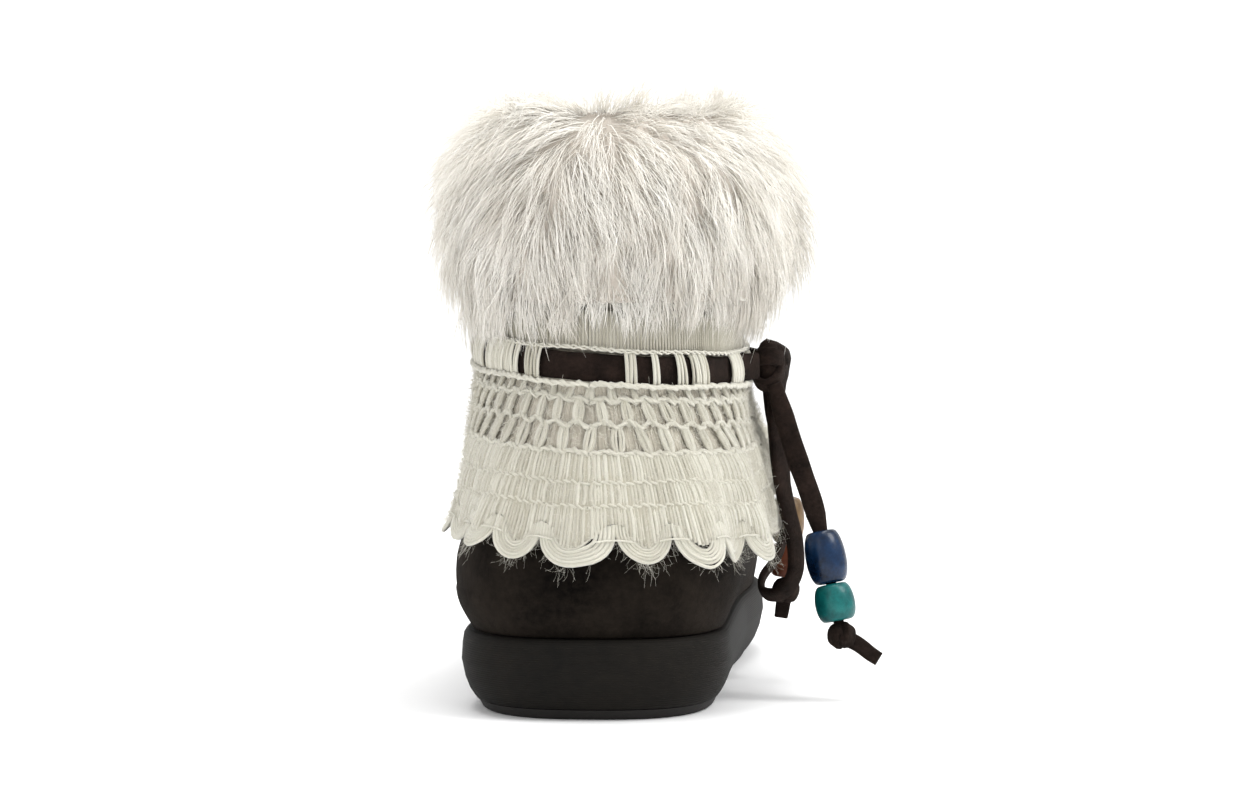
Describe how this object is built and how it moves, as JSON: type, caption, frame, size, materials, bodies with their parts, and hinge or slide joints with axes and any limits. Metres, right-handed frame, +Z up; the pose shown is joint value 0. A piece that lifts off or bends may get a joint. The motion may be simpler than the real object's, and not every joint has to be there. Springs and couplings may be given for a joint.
{
  "type": "mukluk boot",
  "caption": "Short winter boot for the right foot: dark suede foot on a thick moulded sole, pale shaft under a crocheted skirt, deep fur cuff and a suede lace tied in a beaded bow.",
  "frame": {"origin": "under the middle of the heel seat, on the plane that the boot stands on", "axes": "+Y towards the toe, +X towards the outer side of the right foot, +Z up"},
  "size_m": [0.1361, 0.2753, 0.1825],
  "materials": {
    "tread_rubber": "matte",
    "sole_rubber": "matte, finely ribbed",
    "lining": "short pile",
    "suede": "suede",
    "shaft_leather": "suede",
    "yarn": "mohair crochet",
    "fur": "long soft fur",
    "lace_suede": "suede thong",
    "bead_blue": "glazed",
    "bead_teal": "glazed",
    "bead_tan": "polished",
    "bead_copper": "polished"
  },
  "bodies": {
    "root": {"tread": "tread_rubber", "sole": "sole_rubber", "insole": "lining", "upper": "suede", "shaft": "shaft_leather", "crochet_band": "yarn", "fur_cuff": "fur", "lace_band": "lace_suede", "lace_knot": "lace_suede", "end_near": "lace_suede", "loop_near": "lace_suede", "loop_far": "lace_suede", "end_far": "lace_suede", "bead_blue": "bead_blue", "bead_teal": "bead_teal", "bead_tan": "bead_tan", "bead_copper": "bead_copper", "end_knot_near": "lace_suede", "end_knot_far": "lace_suede"}
  },
  "joints": []
}
